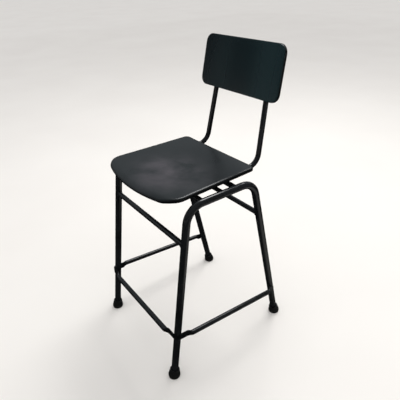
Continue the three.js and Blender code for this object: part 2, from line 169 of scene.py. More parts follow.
camera_data = bpy.data.cameras.new("camera")
camera_data.lens = CAMERA_LENS
camera_data.sensor_width = CAMERA_SENSOR
camera = bpy.data.objects.new("camera", camera_data)
scene.collection.objects.link(camera)
looks = CAMERA_LOOKS.normalized()
right = (CAMERA_RIGHT - looks * CAMERA_RIGHT.dot(looks)).normalized()
up = right.cross(looks)
camera.matrix_world = Matrix.Translation(CAMERA_AT) @ Matrix((right, up, -looks)).transposed().to_4x4()
scene.camera = camera

key_data = bpy.data.lights.new("softbox", "AREA")
key_data.shape = "SQUARE"
key_data.size = KEY_SIZE
key_data.energy = KEY_WATTS
key = bpy.data.objects.new("softbox", key_data)
scene.collection.objects.link(key)
key_turn = (KEY_AIM - KEY_AT).to_track_quat("-Z", "Y").to_matrix().to_4x4()
key.matrix_world = Matrix.Translation(KEY_AT) @ key_turn

world = bpy.data.worlds.new("room")
world.use_nodes = True
scene.world = world
tree = world.node_tree
tree.nodes.clear()
way = add_node(tree, "ShaderNodeTexCoord").outputs["Generated"]
facing = add_node(tree, "ShaderNodeVectorMath", {0: way, 1: WALL_SIDE}, operation="DOT_PRODUCT")
level = add_node(
    tree,
    "ShaderNodeMapRange",
    {
        "Value": facing.outputs["Value"],
        "From Min": -0.1,
        "From Max": 0.5,
        "To Min": ROOM_DIM,
        "To Max": WALL_BRIGHT,
    },
    interpolation_type="SMOOTHSTEP",
)
height = add_node(tree, "ShaderNodeSeparateXYZ", {"Vector": way})
above = add_node(
    tree,
    "ShaderNodeMapRange",
    {"Value": height.outputs["Z"], "From Min": 0.08, "From Max": 0.42, "To Min": NEAR_FLOOR, "To Max": 1.0},
    interpolation_type="SMOOTHSTEP",
)
strength = add_node(
    tree,
    "ShaderNodeMath",
    {0: level.outputs["Result"], 1: above.outputs["Result"]},
    operation="MULTIPLY",
)
mirrored = add_node(
    tree,
    "ShaderNodeBackground",
    {"Color": linear("e6eff5"), "Strength": strength.outputs["Value"]},
)
even = add_node(tree, "ShaderNodeBackground", {"Color": linear("fdfdff"), "Strength": ROOM_EVEN})
plain = add_node(tree, "ShaderNodeBackground", {"Color": linear(BACKGROUND), "Strength": 1.0})
ray = add_node(tree, "ShaderNodeLightPath")
lit = add_node(
    tree,
    "ShaderNodeMixShader",
    {0: ray.outputs["Is Glossy Ray"], 1: even.outputs["Background"], 2: mirrored.outputs["Background"]},
)
both = add_node(
    tree,
    "ShaderNodeMixShader",
    {0: ray.outputs["Is Camera Ray"], 1: lit.outputs["Shader"], 2: plain.outputs["Background"]},
)
add_node(tree, "ShaderNodeOutputWorld", {"Surface": both.outputs["Shader"]})

# ---- side hoops ----
# Two 22 mm steel tubes, each bent twice into an upside-down U: front leg, top tube, rear leg.
# They are finished in black stoving enamel and everything else is welded or screwed to them.
LEG_R = 11 * MM
TUBE_FACETS = 64
BEND_STEPS = 20
LEG_END_Z = 9 * MM  # where a leg stands on its washer
HOOP_BEND = 55 * MM
HOOP_FRONT_Y = -135.5 * MM  # where the leg lines meet the top tube
HOOP_REAR_Y = 96.9 * MM
SHARP_ANGLE = math.radians(38)
MERGE_DIST = 0.005 * MM
PEEL_SIZE = 5 * MM
PEEL_DEPTH = 0.4 * MM
hoop_low, hoop_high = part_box("hoop_left")
HOOP_X = hoop_low.x + LEG_R
HOOP_Z = hoop_high.z - LEG_R
feet = {m["name"]: Vector(m["pos_m"]) for m in frame["record"]["mounts"]}
SIDES = (("left", 1), ("right", -1))
ENDS = (("front", HOOP_FRONT_Y), ("rear", HOOP_REAR_Y))


def enamel_coat(tree, place, colour, gloss):
    """The coat that both enamels end in: a thick gloss with the fine ripple called orange peel."""
    # Orange peel is about 2 mm across on the real tube and is drawn at 5 mm so that it shows.
    peel = add_node(
        tree,
        "ShaderNodeTexNoise",
        {"Vector": place, "Scale": 1 / PEEL_SIZE, "Detail": 2.0, "Roughness": 0.4},
    )
    relief = add_node(
        tree,
        "ShaderNodeBump",
        {"Height": peel.outputs["Fac"], "Strength": 0.12, "Distance": PEEL_DEPTH},
    )
    coat = add_node(
        tree,
        "ShaderNodeBsdfPrincipled",
        {"Base Color": colour, "Roughness": gloss, "IOR": 1.52, "Normal": relief.outputs["Normal"]},
    )
    add_node(tree, "ShaderNodeOutputMaterial", {"Surface": coat.outputs["BSDF"]})


# Black stoving enamel: smooth thick gloss with orange peel, a breath of dust and a few rubbed places.
enamel, tree, place = new_finish("black_stoving_enamel")
dust = add_node(tree, "ShaderNodeTexNoise", {"Vector": place, "Scale": 14.0, "Detail": 5.0, "Roughness": 0.6})
rub = add_node(tree, "ShaderNodeTexNoise", {"Vector": place, "Scale": 55.0, "Detail": 6.0, "Roughness": 0.7})
rubbed = add_node(
    tree,
    "ShaderNodeMapRange",
    {"Value": rub.outputs["Fac"], "From Min": 0.6, "From Max": 0.74, "To Min": 0.0, "To Max": 1.0},
)
dusty = add_node(
    tree,
    "ShaderNodeMapRange",
    {"Value": dust.outputs["Fac"], "From Min": 0.35, "From Max": 0.7, "To Min": 0.0, "To Max": 1.0},
)
deep = add_node(
    tree,
    "ShaderNodeMix",
    {0: dusty.outputs["Result"], 6: linear("0c0d0e"), 7: linear("181a1c")},
    data_type="RGBA",
)
worn = add_node(
    tree,
    "ShaderNodeMix",
    {0: rubbed.outputs["Result"], 6: deep.outputs[2], 7: linear("28292b")},
    data_type="RGBA",
)
gloss = add_node(
    tree,
    "ShaderNodeMapRange",
    {"Value": dust.outputs["Fac"], "From Min": 0.3, "From Max": 0.75, "To Min": 0.12, "To Max": 0.24},
)
enamel_coat(tree, place, worn.outputs[2], gloss.outputs["Result"])


def leg_ends(side, sign, end, corner_y):
    """Where a leg's centreline meets the floor, and where it meets the line of the top tube."""
    return feet[f"foot_{end}_{side}"].copy(), Vector((sign * HOOP_X, corner_y, HOOP_Z))


def leg_at(side, sign, end, corner_y, height):
    """The point of a leg's centreline at that height."""
    low, high = leg_ends(side, sign, end, corner_y)
    return low.lerp(high, height / HOOP_Z)


def edges_of(verts):
    """The edges that meet these vertices, each once and in a steady order."""
    return list(dict.fromkeys(e for v in verts for e in v.link_edges))


def verts_of(shapes):
    """The vertices of these edges or faces, each once and in a steady order."""
    return list(dict.fromkeys(v for shape in shapes for v in shape.verts))


def run_ring(mesh, ring, move):
    """Extrudes an open ring of edges by a move and returns the new ring."""
    grown = bmesh.ops.extrude_edge_only(mesh, edges=ring)["geom"]
    bmesh.ops.translate(mesh, verts=[g for g in grown if isinstance(g, bmesh.types.BMVert)], vec=move)
    return [g for g in grown if isinstance(g, bmesh.types.BMEdge)]


def close_ends(mesh):
    """Closes every open ring with a flat face."""
    open_edges = [e for e in mesh.edges if e.is_boundary]
    if open_edges:
        bmesh.ops.holes_fill(mesh, edges=open_edges, sides=0)


def bent_tube(mesh, corners, radius, bend_radius):
    """Draws a tube along straight runs joined by bends, with its ends closed."""
    way = (corners[1] - corners[0]).normalized()
    stand = Matrix.Translation(corners[0]) @ way.to_track_quat("Z", "Y").to_matrix().to_4x4()
    first = bmesh.ops.create_circle(mesh, segments=TUBE_FACETS, radius=radius, matrix=stand)["verts"]
    ring = edges_of(first)
    here = corners[0]
    for corner, after in zip(corners[1:-1], corners[2:]):
        onward = (after - corner).normalized()
        turn = way.angle(onward)
        setback = bend_radius * math.tan(turn / 2)
        start = corner - way * setback
        inward = (onward - way * math.cos(turn)).normalized()
        ring = run_ring(mesh, ring, start - here)
        spun = bmesh.ops.spin(
            mesh,
            geom=ring + verts_of(ring),
            cent=start + inward * bend_radius,
            axis=way.cross(onward).normalized(),
            angle=turn,
            steps=BEND_STEPS,
        )
        ring = [g for g in spun["geom_last"] if isinstance(g, bmesh.types.BMEdge)]
        here = corner + onward * setback
        way = onward
    run_ring(mesh, ring, corners[-1] - here)
    close_ends(mesh)


def make_piece(mesh, name, finish, slot, *nodes):
    """Turns a finished shape into a named piece of the chair that stands for its CAD nodes."""
    bmesh.ops.remove_doubles(mesh, verts=mesh.verts, dist=MERGE_DIST)
    bmesh.ops.recalc_face_normals(mesh, faces=mesh.faces)
    for face in mesh.faces:
        face.smooth = True
    for edge in mesh.edges:
        edge.smooth = edge.calc_face_angle(0.0) < SHARP_ANGLE
    data = bpy.data.meshes.new(name)
    mesh.to_mesh(data)
    mesh.free()
    data.materials.append(finish)
    piece = bpy.data.objects.new(name, data)
    scene.collection.objects.link(piece)
    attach(piece, "root")
    if nodes:
        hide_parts(*nodes)
    return piece


for side, sign in SIDES:
    front_low, front_high = leg_ends(side, sign, "front", HOOP_FRONT_Y)
    rear_low, rear_high = leg_ends(side, sign, "rear", HOOP_REAR_Y)
    corners = [
        front_low.lerp(front_high, LEG_END_Z / HOOP_Z),
        front_high,
        rear_high,
        rear_low.lerp(rear_high, LEG_END_Z / HOOP_Z),
    ]
    hoop = bmesh.new()
    bent_tube(hoop, corners, LEG_R, HOOP_BEND)
    make_piece(hoop, f"hoop_tube_{side}", enamel, "frame", f"hoop_{side}")

# ---- stretchers and cross tubes ----
# Straight tubes between the two hoops, their ends coped to the round tube they meet and welded all round.
# The stretchers tie the legs, and the three cross tubes under the seat carry the uprights.
TUBE_R = 8 * MM
BAR_R = 6.35 * MM  # half inch tube in the middle
WELD_RISE = 2.2 * MM  # how far a weld stands out round the tube's end
WELD_RIPPLE = 0.25 * MM
WELD_WAVES = 17
RIPPLED_FROM = 0.3  # the share of the rise above which a weld is rippled
LIP_SHORT = 8 * MM  # how far before the other tube's middle a lip under it stops
# How far short of the other tube in millimetres, and how much of the weld's rise is there.
WELD_PROFILE = ((30, 0), (4.2, 0), (3.4, 0.12), (2.4, 0.5), (1.3, 0.8), (0.4, 1), (-0.8, 1))
MIRROR_MERGE = 0.01 * MM


def reach_to_tube(start, along, axis_point, axis_way, radius):
    """How far from start, going along, the side of another round tube is met."""
    across = start - axis_point
    across = across - axis_way * across.dot(axis_way)
    step = along - axis_way * along.dot(axis_way)
    a, b, c = step.dot(step), across.dot(step), across.dot(across) - radius**2
    return (-b - math.sqrt(max(0.0, b * b - a * c))) / a


def welded_bar(mesh, height, depth, radius, axis_point, axis_way):
    """A level tube from the middle plane out to a coped, welded end, then mirrored to the other side."""
    middle = Vector((0, depth, height))
    stand = Matrix.Translation(middle) @ Vector((1, 0, 0)).to_track_quat("Z", "Y").to_matrix().to_4x4()
    out_of = mesh.verts.layers.float_vector.new("out")
    first = bmesh.ops.create_circle(mesh, segments=TUBE_FACETS, radius=radius, matrix=stand)["verts"]
    ring = edges_of(first)
    for vert in first:
        vert[out_of] = (vert.co - middle).normalized()
    furthest = axis_point.x - LIP_SHORT
    for short, share in WELD_PROFILE:
        ring = run_ring(mesh, ring, (0, 0, 0))
        for vert in verts_of(ring):
            out = Vector(vert[out_of])
            wave = math.sin(WELD_WAVES * math.atan2(out.z, out.y))
            ripple = WELD_RIPPLE * wave if share > RIPPLED_FROM else 0.0
            bare = middle + out * radius
            met = reach_to_tube(bare, Vector((1, 0, 0)), axis_point, axis_way, LEG_R)
            # Where the tube passes under the other one there is nothing to weld to, and its lip stops short.
            welded = 1.0 if met < furthest else 0.0
            foot = middle + out * (radius + welded * (share * WELD_RISE + ripple))
            met = reach_to_tube(foot, Vector((1, 0, 0)), axis_point, axis_way, LEG_R)
            vert.co = foot + Vector((min(met, furthest) - short * MM, 0, 0))
    bmesh.ops.holes_fill(mesh, edges=[e for e in ring if e.is_boundary], sides=0)
    whole = mesh.verts[:] + mesh.edges[:] + mesh.faces[:]
    bmesh.ops.mirror(mesh, geom=whole, axis="X", merge_dist=MIRROR_MERGE)


for end, corner_y in ENDS:
    low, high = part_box(f"stretcher_{end}")
    height = (low.z + high.z) / 2
    leg = leg_at("left", 1, end, corner_y, height)
    foot, corner = leg_ends("left", 1, end, corner_y)
    bar = bmesh.new()
    welded_bar(bar, height, leg.y, TUBE_R, leg, (corner - foot).normalized())
    make_piece(bar, f"stretcher_tube_{end}", enamel, "frame", f"stretcher_{end}")

for spot, radius in (("front", TUBE_R), ("middle", BAR_R), ("rear", TUBE_R)):
    low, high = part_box(f"cross_tube_{spot}")
    bar = bmesh.new()
    depth = (low.y + high.y) / 2
    welded_bar(bar, high.z - radius, depth, radius, Vector((HOOP_X, depth, HOOP_Z)), Vector((0, 1, 0)))
    make_piece(bar, f"cross_tube_{spot}_bar", enamel, "frame", f"cross_tube_{spot}")

# ---- foot rail ----
# One 16 mm tube bent into a U. It is pressed flat where it wraps round the front legs and where it lies on
# the rear legs, and welded there along its edges. The sitter's shoes have dulled its top, and its top is
# partly painted lighter as a painted highlight.
RAIL_FRONT_Z = 167.2 * MM
RAIL_REAR_Z = 132.9 * MM
RAIL_OFFSET = LEG_R + TUBE_R
GAP = 0.3 * MM  # between pieces that touch
STRAP_T = 3.4 * MM
STRAP_H = 23 * MM
STRAP_SQUARE = 0.35  # the power that squares the pressed section off; 1 would leave it round
STRAP_OFFSET = LEG_R + GAP + STRAP_T / 2
STRAP_LEAD = 27 * MM  # how far the flat runs past the front leg's middle
CRUSH = 15 * MM  # the length over which round turns to flat
REAR_TAB_AHEAD = 13 * MM
REAR_TAB_BEHIND = 2 * MM
TAB_NOSE = ((5.0, 1.0), (2.4, 0.94), (0.9, 0.82), (0.0, 0.62))  # mm from the end, share of the full height
RAIL_FACETS = 48
CRUSH_STEPS = 10
WRAP_STEPS = 14
SCRATCH_WIDTH = 1 * MM

# The same enamel where shoes rub it: more of it is dull, grey and finely scratched, and patches facing up are
# painted lighter, partly as wear and partly as a painted highlight.
# The scratches run across the chair, and are drawn 1 mm wide so that they show.
rail_enamel, tree, place = new_finish("scuffed_black_enamel")
wear = add_node(
    tree,
    "ShaderNodeTexNoise",
    {"Vector": place, "Scale": 26.0, "Detail": 6.0, "Roughness": 0.65},
)
stretched = add_node(
    tree,
    "ShaderNodeMapping",
    {"Vector": place, "Scale": (60.0, 1 / SCRATCH_WIDTH, 1 / SCRATCH_WIDTH)},
)
scratch = add_node(
    tree,
    "ShaderNodeTexNoise",
    {"Vector": stretched.outputs["Vector"], "Scale": 1.0, "Detail": 2.0},
)
up_facing = add_node(
    tree,
    "ShaderNodeSeparateXYZ",
    {"Vector": add_node(tree, "ShaderNodeNewGeometry").outputs["Normal"]},
)
# Painted highlight: surfaces facing up are drawn lighter grey in patches, standing for shoe wear and for the
# highlight.
top_wear_and_highlight = add_node(
    tree,
    "ShaderNodeMapRange",
    {"Value": up_facing.outputs["Z"], "From Min": 0.1, "From Max": 0.9, "To Min": 0.0, "To Max": 0.4},
)
worn_mask = add_node(
    tree,
    "ShaderNodeMapRange",
    {"Value": wear.outputs["Fac"], "From Min": 0.42, "From Max": 0.66, "To Min": 0.0, "To Max": 1.0},
)
patchy_top_wear_and_highlight = add_node(
    tree,
    "ShaderNodeMath",
    {0: top_wear_and_highlight.outputs["Result"], 1: worn_mask.outputs["Result"]},
    operation="MULTIPLY",
)
scored = add_node(
    tree,
    "ShaderNodeMapRange",
    {"Value": scratch.outputs["Fac"], "From Min": 0.62, "From Max": 0.7, "To Min": 0.0, "To Max": 0.35},
)
mask = add_node(
    tree,
    "ShaderNodeMath",
    {0: patchy_top_wear_and_highlight.outputs["Value"], 1: scored.outputs["Result"]},
    operation="MAXIMUM",
)
shade = add_node(
    tree,
    "ShaderNodeMix",
    {0: mask.outputs["Value"], 6: linear("08090a"), 7: linear("2c2f32")},
    data_type="RGBA",
)
gloss = add_node(
    tree,
    "ShaderNodeMapRange",
    {"Value": mask.outputs["Value"], "From Min": 0.0, "From Max": 0.7, "To Min": 0.13, "To Max": 0.36},
)
enamel_coat(tree, place, shade.outputs[2], gloss.outputs["Result"])


def ease(t):
    """A smooth step from 0 to 1."""
    return t * t * (3 - 2 * t)


def rail_stations(front, rear):
    """The rail's half from the middle plane to its rear end: centre, way, flatness and height share."""
    fall = (RAIL_REAR_Z - RAIL_FRONT_Z) / (rear.y - front.y)
    back_way = Vector((0, 1, fall)).normalized()
    across = Vector((1, 0, 0))

    def fore(x, offset):
        return Vector((x, front.y - offset, RAIL_FRONT_Z))

    def side(y, offset):
        return Vector((front.x + offset, y, RAIL_FRONT_Z + fall * (y - front.y)))

    def crush_run(where, start, sign, way, flat_first):
        made = []
        for k in range(CRUSH_STEPS + 1):
            t = k / CRUSH_STEPS
            flat = 1 - ease(t) if flat_first else ease(t)
            offset = RAIL_OFFSET + (STRAP_OFFSET - RAIL_OFFSET) * flat
            made.append((where(start + sign * CRUSH * t, offset), way, flat, 1.0))
        return made

    flat_start = front.x - STRAP_LEAD
    flat_end = front.y + STRAP_LEAD
    tab_start = rear.y - REAR_TAB_AHEAD
    tab_end = rear.y + REAR_TAB_BEHIND
    stations = [(fore(0, RAIL_OFFSET), across, 0.0, 1.0)]
    stations += crush_run(fore, flat_start - CRUSH, 1, across, False)
    for k in range(WRAP_STEPS + 1):
        q = math.pi / 2 * k / WRAP_STEPS
        x = front.x + STRAP_OFFSET * math.sin(q)
        y = front.y - STRAP_OFFSET * math.cos(q)
        way = across.lerp(back_way, k / WRAP_STEPS).normalized()
        stations.append((Vector((x, y, RAIL_FRONT_Z)), way, 1.0, 1.0))
    stations += crush_run(side, flat_end, 1, back_way, True)
    stations += crush_run(side, tab_start - CRUSH, 1, back_way, False)
    for back, share in TAB_NOSE:
        stations.append((side(tab_end - back * MM, STRAP_OFFSET), back_way, 1.0, share))
    return stations


def rail_ring(centre, way, flat, share, angles):
    """Points round the rail at one station: a circle where flat is 0, a pressed strap where it is 1."""
    side = Vector((0, 0, 1)).cross(way).normalized()
    up_way = way.cross(side)
    points = []
    for q in angles:
        c, s = math.cos(q), math.sin(q)
        thick = TUBE_R * c * (1 - flat) + STRAP_T / 2 * math.copysign(abs(c) ** STRAP_SQUARE, c) * flat
        tall = TUBE_R * s * (1 - flat) + STRAP_H / 2 * s * flat * share
        points.append(centre + side * thick + up_way * tall)
    return points


rail = bmesh.new()
front_leg = leg_at("left", 1, "front", HOOP_FRONT_Y, RAIL_FRONT_Z)
rear_leg = leg_at("left", 1, "rear", HOOP_REAR_Y, RAIL_REAR_Z)
stations = rail_stations(front_leg, rear_leg)
turns = [2 * math.pi * k / RAIL_FACETS for k in range(RAIL_FACETS)]
angle_of = rail.verts.layers.float.new("turn")
first = bmesh.ops.create_circle(rail, segments=RAIL_FACETS, radius=TUBE_R)["verts"]
for vert, q in zip(first, turns):
    vert[angle_of] = q
ring = edges_of(first)
for index, (centre, way, flat, share) in enumerate(stations):
    if index:
        ring = run_ring(rail, ring, (0, 0, 0))
    ring_verts = verts_of(ring)
    points = rail_ring(centre, way, flat, share, [v[angle_of] for v in ring_verts])
    for vert, point in zip(ring_verts, points):
        vert.co = point
bmesh.ops.holes_fill(rail, edges=ring, sides=0)
bmesh.ops.mirror(rail, geom=rail.verts[:] + rail.edges[:] + rail.faces[:], axis="X", merge_dist=MIRROR_MERGE)
make_piece(rail, "foot_rail_tube", rail_enamel, "frame", "foot_rail")

# Weld beads along the upper and lower edges of the pressed tube, half sunk between it and the leg.
BEAD_R = 1.5 * MM
BEAD_OUT = 0.5 * MM  # how far outside the leg's wall its middle lies
BEAD_FACETS = 12
BEAD_STEPS = 26
BEAD_END = 0.45  # how much of its width is left at either end
RAIL_WELDS = (  # the leg, its corner, the rail's height, the side where the bead starts, and degrees round
    ("front", HOOP_FRONT_Y, RAIL_FRONT_Z, (0, -1), 88),
    ("rear", HOOP_REAR_Y, RAIL_REAR_Z, (0.75, -0.66), 40),
)


def weld_bead(mesh, axis_point, axis_way, start_way, sweep):
    """A bead laid round part of a leg, starting on the side that start_way points to."""
    out = (start_way - axis_way * start_way.dot(axis_way)).normalized()
    tangent = axis_way.cross(out)
    basis = Matrix((out, axis_way, tangent)).transposed().to_4x4()
    stand = Matrix.Translation(axis_point + out * (LEG_R + BEAD_OUT)) @ basis
    first = bmesh.ops.create_circle(mesh, segments=BEAD_FACETS, radius=BEAD_R, matrix=stand)["verts"]
    spun = bmesh.ops.spin(
        mesh,
        geom=first + edges_of(first),
        cent=axis_point,
        axis=axis_way,
        angle=sweep,
        steps=BEAD_STEPS,
    )
    ends = [first, [g for g in spun["geom_last"] if isinstance(g, bmesh.types.BMVert)]]
    for end_verts in ends:
        middle = sum((v.co for v in end_verts), Vector()) / len(end_verts)
        bmesh.ops.scale(mesh, verts=end_verts, vec=(BEAD_END,) * 3, space=Matrix.Translation(-middle))
        open_edges = [e for e in edges_of(end_verts) if e.is_boundary]
        bmesh.ops.contextual_create(mesh, geom=open_edges)


welds = bmesh.new()
for side, sign in SIDES:
    for end, corner_y, height, (start_x, start_y), degrees in RAIL_WELDS:
        foot, corner = leg_ends(side, sign, end, corner_y)
        axis = (corner - foot).normalized()
        start = Vector((sign * start_x, start_y, 0))
        sweep = sign * math.radians(degrees)
        for above in (1, -1):
            level = height + above * (STRAP_H / 2 + GAP)
            weld_bead(welds, leg_at(side, sign, end, corner_y, level), axis, start, sweep)
make_piece(welds, "foot_rail_welds", enamel, "frame")

# ---- uprights ----
# Two 16 mm tubes that run fore and aft under the seat on the cross tubes, then turn up and lean back.
# Their open ends are closed by push-in plastic plugs.
UPRIGHT_BEND = 42 * MM
RUN_CORNER_Y = 175.4 * MM
UPRIGHT_TOP_X = 105.5 * MM
UPRIGHT_TOP_Z = 925 * MM
LEAN = math.radians(11.2)
run_low, run_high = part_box("upright_left")
UPRIGHT_X = run_high.x - TUBE_R
RUN_Z = run_low.z + TUBE_R
RUN_FRONT_Y = run_low.y
PLUG_FACETS = 48
PLUG_GRAIN = 1 * MM

# Push-in plugs: black moulded polythene with a fine spark-eroded grain, softer and greyer than the enamel.
# The grain is about 0.3 mm on the real plug and is drawn at 1 mm so that it shows.
polythene, tree, place = new_finish("moulded_black_polythene")
grain = add_node(tree, "ShaderNodeTexNoise", {"Vector": place, "Scale": 1 / PLUG_GRAIN, "Detail": 2.0})
bloom = add_node(tree, "ShaderNodeTexNoise", {"Vector": place, "Scale": 90.0, "Detail": 3.0})
shade = add_node(
    tree,
    "ShaderNodeMix",
    {0: bloom.outputs["Fac"], 6: linear("0d0e0f"), 7: linear("1d1e20")},
    data_type="RGBA",
)
gloss = add_node(
    tree,
    "ShaderNodeMapRange",
    {"Value": grain.outputs["Fac"], "From Min": 0.3, "From Max": 0.7, "To Min": 0.42, "To Max": 0.6},
)
relief = add_node(
    tree,
    "ShaderNodeBump",
    {"Height": grain.outputs["Fac"], "Strength": 0.2, "Distance": 0.1 * MM},
)
moulded = add_node(
    tree,
    "ShaderNodeBsdfPrincipled",
    {
        "Base Color": shade.outputs[2],
        "Roughness": gloss.outputs["Result"],
        "IOR": 1.51,
        "Normal": relief.outputs["Normal"],
    },
)
add_node(tree, "ShaderNodeOutputMaterial", {"Surface": moulded.outputs["BSDF"]})


def turned(mesh, profile, at, axis, steps):
    """Spins a profile of [radius, height] pairs in millimetres round an axis through `at`."""
    stand = Matrix.Translation(at) @ axis.to_track_quat("Z", "Y").to_matrix().to_4x4()
    verts = [mesh.verts.new(stand @ Vector((r * MM, 0, h * MM))) for r, h in profile]
    edges = [mesh.edges.new(pair) for pair in zip(verts, verts[1:])]
    bmesh.ops.spin(
        mesh,
        geom=verts + edges,
        cent=at,
        axis=axis,
        angle=2 * math.pi,
        steps=steps,
        use_merge=True,
    )
    bmesh.ops.remove_doubles(mesh, verts=mesh.verts, dist=MERGE_DIST)


PLUG_PROFILE = [
    (0, -10), (5.7, -10), (6.5, -8), (6.5, 0.3), (7.6, 0.3), (7.95, 0.6),
    (7.95, 1.1), (7.7, 1.55), (7.1, 1.95), (6.2, 2.15), (3.0, 2.2), (0, 2.2),
]
upright_way = {}
for side, sign in SIDES:
    corner = Vector((sign * UPRIGHT_X, RUN_CORNER_Y, RUN_Z))
    top_y = RUN_CORNER_Y + (UPRIGHT_TOP_Z - RUN_Z) * math.tan(LEAN)
    top = Vector((sign * UPRIGHT_TOP_X, top_y, UPRIGHT_TOP_Z))
    start = Vector((sign * UPRIGHT_X, RUN_FRONT_Y, RUN_Z))
    upright_way[side] = (corner, top)
    upright = bmesh.new()
    bent_tube(upright, [start, corner, top], TUBE_R, UPRIGHT_BEND)
    make_piece(upright, f"upright_tube_{side}", enamel, "frame", f"upright_{side}")
    for spot, at, axis in (("top", top, (top - corner).normalized()), ("front", start, Vector((0, -1, 0)))):
        plug = bmesh.new()
        turned(plug, PLUG_PROFILE, at, axis, PLUG_FACETS)
        make_piece(plug, f"tube_plug_{spot}_{side}", polythene, "plug", f"plug_upright_{spot}_{side}")

# ---- seat ----
# Nine plies of beech pressed to shape and 12 mm thick: a shallow dish with a rolled-down front edge, its rim
# rounded over and the whole sprayed in satin black lacquer. It is screwed to the uprights' runs from below.
PLY = 12 * MM
PLY_LAYERS = 9
SEAT_EDGE = (8 * MM, 5 * MM)  # how far in and how deep its upper rounding goes
EDGE_UNDER_R = 2.5 * MM
EDGE_STEPS = 8  # rings over each rounding of the edge
FACE_RINGS = 34
SIDE_RINGS = 4
UNDER_RINGS = 22
RIM_STEP = 4.5 * MM  # the rim's edges are about this long
SLOPE_STEP = 0.5 * MM
SEAT_BOW_AT = 150 * MM  # how far to the side the bow is measured
SEAT_FRONT_BOW = 23 * MM  # how far the front edge has fallen back there
SEAT_REAR_HALF = 170 * MM
SEAT_CORNER_FRONT = 46 * MM
SEAT_CORNER_REAR = 16 * MM
SEAT_Z = 614.3 * MM
SEAT_RISE = 0.012
SEAT_DISH = 5 * MM
SEAT_DISH_Y = -10 * MM
SEAT_DISH_HALF = 130 * MM
SEAT_LIP_R = 40 * MM
SEAT_LIP_RUN = 26 * MM
SEAT_LIP_OVERRUN = 2 * MM
SEAT_LIP_FADE = 0.12  # the share by which the lip has narrowed where the bow is measured
GRAIN_WIDTH = 2 * MM
seat_low, seat_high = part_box("seat")
SEAT_FRONT_Y = seat_low.y
SEAT_REAR_Y = seat_high.y
SEAT_FRONT_HALF = seat_high.x
SEAT_CENTRE = Vector((0, -40 * MM, 0))


def lacquer_on_ply(tree, grain_scale, face, gloss):
    """The coat that both lacquers end in: its edge darkened by painted shade, each ply showing there as a faint
    line.
    """
    layer_depth = add_node(tree, "ShaderNodeAttribute", attribute_name="ply_depth")
    on_edge = add_node(
        tree,
        "ShaderNodeMapRange",
        {"Value": layer_depth.outputs["Fac"], "From Min": 0.05, "From Max": 0.3, "To Min": 0.0, "To Max": 1.0},
    )
    off_back = add_node(
        tree,
        "ShaderNodeMapRange",
        {"Value": layer_depth.outputs["Fac"], "From Min": 0.88, "From Max": 0.99, "To Min": 1.0, "To Max": 0.0},
    )
    edge_painted_shade = add_node(
        tree,
        "ShaderNodeMath",
        {0: on_edge.outputs["Result"], 1: off_back.outputs["Result"]},
        operation="MULTIPLY",
    )
    # Painted shade: the panel's edge, from its upper rounding down to its underside, is drawn near black.
    shade = add_node(
        tree,
        "ShaderNodeMix",
        {0: edge_painted_shade.outputs["Value"], 6: face, 7: linear("030506")},
        data_type="RGBA",
    )
    layer_wave = add_node(
        tree,
        "ShaderNodeMath",
        {0: layer_depth.outputs["Fac"], 1: 2 * math.pi * PLY_LAYERS},
        operation="MULTIPLY",
    )
    layer_line = add_node(tree, "ShaderNodeMath", {0: layer_wave.outputs["Value"]}, operation="COSINE")
    layer_relief = add_node(
        tree,
        "ShaderNodeBump",
        {"Height": layer_line.outputs["Value"], "Strength": 0.12, "Distance": 0.2 * MM},
    )
    place = add_node(tree, "ShaderNodeTexCoord").outputs["Object"]
    grain_way = add_node(tree, "ShaderNodeMapping", {"Vector": place, "Scale": grain_scale})
    grain = add_node(
        tree,
        "ShaderNodeTexNoise",
        {"Vector": grain_way.outputs["Vector"], "Scale": 1.0, "Detail": 4.0},
    )
    relief = add_node(
        tree,
        "ShaderNodeBump",
        {
            "Height": grain.outputs["Fac"],
            "Strength": 0.1,
            "Distance": 0.2 * MM,
            "Normal": layer_relief.outputs["Normal"],
        },
    )
    lacquer = add_node(
        tree,
        "ShaderNodeBsdfPrincipled",
        {"Base Color": shade.outputs[2], "Roughness": gloss, "IOR": 1.5, "Normal": relief.outputs["Normal"]},
    )
    add_node(tree, "ShaderNodeOutputMaterial", {"Surface": lacquer.outputs["BSDF"]})


# Satin black lacquer on beech ply: the grain shows only as a faint relief. The middle front is painted lighter
# and greyer, partly where the sitter has rubbed it and partly as a painted sheen. Grain lines are 0.5 mm apart
# in the wood and are drawn at 2 mm.
seat_lacquer, tree, place = new_finish("satin_black_lacquer_seat")
cloud = add_node(
    tree,
    "ShaderNodeTexNoise",
    {"Vector": place, "Scale": 11.0, "Detail": 4.0, "Roughness": 0.55},
)
# The rubbed place, which is also a painted sheen: its middle is 24 mm to the left and 79 mm to the front, and
# it has died out by 180 mm away.
centred = add_node(
    tree,
    "ShaderNodeMapping",
    {"Vector": place, "Location": (-0.15, 0.55, -0.61 * 2), "Scale": (6.2, 7.0, 2.0)},
)
spot_far = add_node(tree, "ShaderNodeVectorMath", {0: centred.outputs["Vector"]}, operation="LENGTH")
rub_and_sheen_spot = add_node(
    tree,
    "ShaderNodeMapRange",
    {"Value": spot_far.outputs["Value"], "From Min": 0.1, "From Max": 1.1, "To Min": 1.0, "To Max": 0.0},
    interpolation_type="SMOOTHSTEP",
)
cloudy = add_node(
    tree,
    "ShaderNodeMapRange",
    {"Value": cloud.outputs["Fac"], "From Min": 0.36, "From Max": 0.68, "To Min": 0.0, "To Max": 1.0},
)
wear = add_node(
    tree,
    "ShaderNodeMath",
    {0: rub_and_sheen_spot.outputs["Result"], 1: cloudy.outputs["Result"]},
    operation="MULTIPLY",
)
black = add_node(
    tree,
    "ShaderNodeMix",
    {0: cloudy.outputs["Result"], 6: linear("0a1012"), 7: linear("13191b")},
    data_type="RGBA",
)
